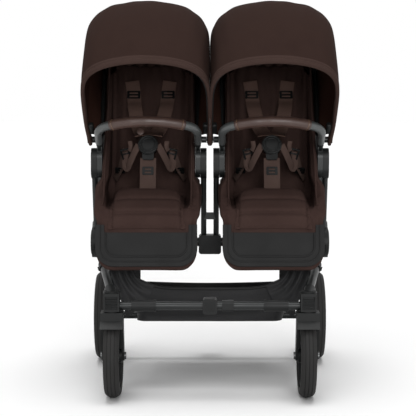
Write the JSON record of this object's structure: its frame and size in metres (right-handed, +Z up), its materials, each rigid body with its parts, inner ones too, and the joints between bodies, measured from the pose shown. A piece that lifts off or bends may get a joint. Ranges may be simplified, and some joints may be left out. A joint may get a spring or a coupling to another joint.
{
  "type": "side by side double stroller",
  "caption": "Side by side stroller: reclining bucket seats with folding canopies and bumper bars on a wheeled frame with a height adjustable handle and a basket.",
  "frame": {"origin": "middle of the outline on the floor under the stroller", "axes": "+X to the right as seen from the front, +Y to the rear, +Z up"},
  "size_m": [0.7908, 0.9326, 1.1985],
  "materials": {
    "tyre_rubber": "matte",
    "canopy_cloth": "woven",
    "seat_cloth": "woven",
    "webbing": "woven webbing",
    "leatherette": "satin",
    "panel_rubber": "matte",
    "basket_cloth": "woven",
    "coated_tube": "satin powder coat",
    "axle_steel": "satin",
    "black_plastic": "moulded"
  },
  "bodies": {
    "chassis": {"front_legs": "coated_tube", "front_crossbar": "coated_tube", "crossbar_collars": "black_plastic", "swivel_housing_left": "black_plastic", "swivel_housing_right": "black_plastic", "joint_housings": "black_plastic", "main_crossbar": "coated_tube", "centre_block": "black_plastic", "mount_tubes": "coated_tube", "seat_mounts": "black_plastic", "handle_tubes": "coated_tube", "basket": "basket_cloth"},
    "rear_frame": {"rear_frame": "coated_tube", "rear_axles": "axle_steel"},
    "brake_pedal": {"brake_pedal": "black_plastic"},
    "width_latch": {"width_latch": "black_plastic"},
    "handlebar": {"handlebar": "coated_tube", "handle_grip": "leatherette"},
    "rear_wheel_left": {"rear_tyre_left": "tyre_rubber", "rear_rim_left": "black_plastic"},
    "fork_left": {"fork_left": "black_plastic", "front_axle_left": "axle_steel"},
    "front_wheel_left": {"front_tyre_left": "tyre_rubber", "front_rim_left": "black_plastic"},
    "swivel_lock_left": {"swivel_lock_left": "black_plastic"},
    "height_lever_left": {"height_lever_left": "black_plastic"},
    "seat_left": {"seat_frame_left": "coated_tube", "seat_shell_left": "seat_cloth", "seat_pad_left": "seat_cloth", "foot_panel_left": "panel_rubber", "harness_left": "webbing", "strap_adjusters_left": "black_plastic", "buckle_left": "black_plastic", "canopy_left": "canopy_cloth"},
    "buckle_button_left": {"buckle_button_left": "black_plastic"},
    "bumper_left": {"bumper_bar_left": "coated_tube", "bumper_wrap_left": "leatherette"},
    "canopy_bow_left": {"canopy_bow_left": "black_plastic"},
    "recline_handle_left": {"recline_handle_left": "black_plastic"},
    "rear_wheel_right": {"rear_tyre_right": "tyre_rubber", "rear_rim_right": "black_plastic"},
    "fork_right": {"fork_right": "black_plastic", "front_axle_right": "axle_steel"},
    "front_wheel_right": {"front_tyre_right": "tyre_rubber", "front_rim_right": "black_plastic"},
    "swivel_lock_right": {"swivel_lock_right": "black_plastic"},
    "height_lever_right": {"height_lever_right": "black_plastic"},
    "seat_right": {"seat_frame_right": "coated_tube", "seat_shell_right": "seat_cloth", "seat_pad_right": "seat_cloth", "foot_panel_right": "panel_rubber", "harness_right": "webbing", "strap_adjusters_right": "black_plastic", "buckle_right": "black_plastic", "canopy_right": "canopy_cloth"},
    "buckle_button_right": {"buckle_button_right": "black_plastic"},
    "bumper_right": {"bumper_bar_right": "coated_tube", "bumper_wrap_right": "leatherette"},
    "canopy_bow_right": {"canopy_bow_right": "black_plastic"},
    "recline_handle_right": {"recline_handle_right": "black_plastic"}
  },
  "joints": [
    {"name": "rear_fold", "type": "hinge", "parent": "chassis", "child": "rear_frame", "pos_m": [0, -0.01133, 0.428], "axis": [-1, 0, 0], "range_deg": [0, 60]},
    {"name": "brake_pedal", "type": "hinge", "parent": "rear_frame", "child": "brake_pedal", "pos_m": [0, 0.20867, 0.15], "axis": [1, 0, 0], "range_deg": [0, 15]},
    {"name": "width_latch", "type": "slide", "parent": "chassis", "child": "width_latch", "axis": [-1, 0, 0], "range_m": [0, 0.01]},
    {"name": "handle_height", "type": "slide", "parent": "chassis", "child": "handlebar", "axis": [0, 0.6293, 0.7771], "range_m": [0, 0.11]},
    {"name": "rear_wheel_left", "type": "hinge", "parent": "rear_frame", "child": "rear_wheel_left", "pos_m": [-0.36, 0.20867, 0.15], "axis": [1, 0, 0], "continuous": true},
    {"name": "swivel_left", "type": "hinge", "parent": "chassis", "child": "fork_left", "pos_m": [-0.289, -0.38633, 0.125], "axis": [0, 0, 1], "continuous": true},
    {"name": "front_wheel_left", "type": "hinge", "parent": "fork_left", "child": "front_wheel_left", "pos_m": [-0.289, -0.34133, 0.125], "axis": [1, 0, 0], "continuous": true},
    {"name": "swivel_lock_left", "type": "slide", "parent": "chassis", "child": "swivel_lock_left", "axis": [0, 0, 1], "range_m": [0, 0.008]},
    {"name": "height_lever_left", "type": "hinge", "parent": "chassis", "child": "height_lever_left", "pos_m": [-0.365, 0.24754, 0.70477], "axis": [1, 0, 0], "range_deg": [0, 80]},
    {"name": "recline_left", "type": "hinge", "parent": "chassis", "child": "seat_left", "pos_m": [-0.1925, -0.07133, 0.69], "axis": [1, 0, 0], "range_deg": [-24, 0]},
    {"name": "buckle_button_left", "type": "slide", "parent": "seat_left", "child": "buckle_button_left", "axis": [0, 0.9397, -0.342], "range_m": [0, 0.003], "stiffness_N_per_m": 500},
    {"name": "bumper_left", "type": "hinge", "parent": "seat_left", "child": "bumper_left", "pos_m": [-0.1925, -0.08633, 0.735], "axis": [1, 0, 0], "range_deg": [-45, 0]},
    {"name": "canopy_left", "type": "hinge", "parent": "seat_left", "child": "canopy_bow_left", "pos_m": [-0.1925, -0.06133, 0.76], "axis": [1, 0, 0], "range_deg": [-60, 0], "deforming": ["canopy_left"]},
    {"name": "recline_handle_left", "type": "slide", "parent": "seat_left", "child": "recline_handle_left", "axis": [0, 0.2727, 0.9621], "range_m": [0, 0.01], "stiffness_N_per_m": 400},
    {"name": "rear_wheel_right", "type": "hinge", "parent": "rear_frame", "child": "rear_wheel_right", "pos_m": [0.36, 0.20867, 0.15], "axis": [1, 0, 0], "continuous": true},
    {"name": "swivel_right", "type": "hinge", "parent": "chassis", "child": "fork_right", "pos_m": [0.289, -0.38633, 0.125], "axis": [0, 0, 1], "continuous": true},
    {"name": "front_wheel_right", "type": "hinge", "parent": "fork_right", "child": "front_wheel_right", "pos_m": [0.289, -0.34133, 0.125], "axis": [1, 0, 0], "continuous": true},
    {"name": "swivel_lock_right", "type": "slide", "parent": "chassis", "child": "swivel_lock_right", "axis": [0, 0, 1], "range_m": [0, 0.008]},
    {"name": "height_lever_right", "type": "hinge", "parent": "chassis", "child": "height_lever_right", "pos_m": [0.365, 0.24754, 0.70477], "axis": [1, 0, 0], "range_deg": [0, 80]},
    {"name": "recline_right", "type": "hinge", "parent": "chassis", "child": "seat_right", "pos_m": [0.1925, -0.07133, 0.69], "axis": [1, 0, 0], "range_deg": [-24, 0]},
    {"name": "buckle_button_right", "type": "slide", "parent": "seat_right", "child": "buckle_button_right", "axis": [0, 0.9397, -0.342], "range_m": [0, 0.003], "stiffness_N_per_m": 500},
    {"name": "bumper_right", "type": "hinge", "parent": "seat_right", "child": "bumper_right", "pos_m": [0.1925, -0.08633, 0.735], "axis": [1, 0, 0], "range_deg": [-45, 0]},
    {"name": "canopy_right", "type": "hinge", "parent": "seat_right", "child": "canopy_bow_right", "pos_m": [0.1925, -0.06133, 0.76], "axis": [1, 0, 0], "range_deg": [-60, 0], "deforming": ["canopy_right"]},
    {"name": "recline_handle_right", "type": "slide", "parent": "seat_right", "child": "recline_handle_right", "axis": [0, 0.2727, 0.9621], "range_m": [0, 0.01], "stiffness_N_per_m": 400}
  ]
}
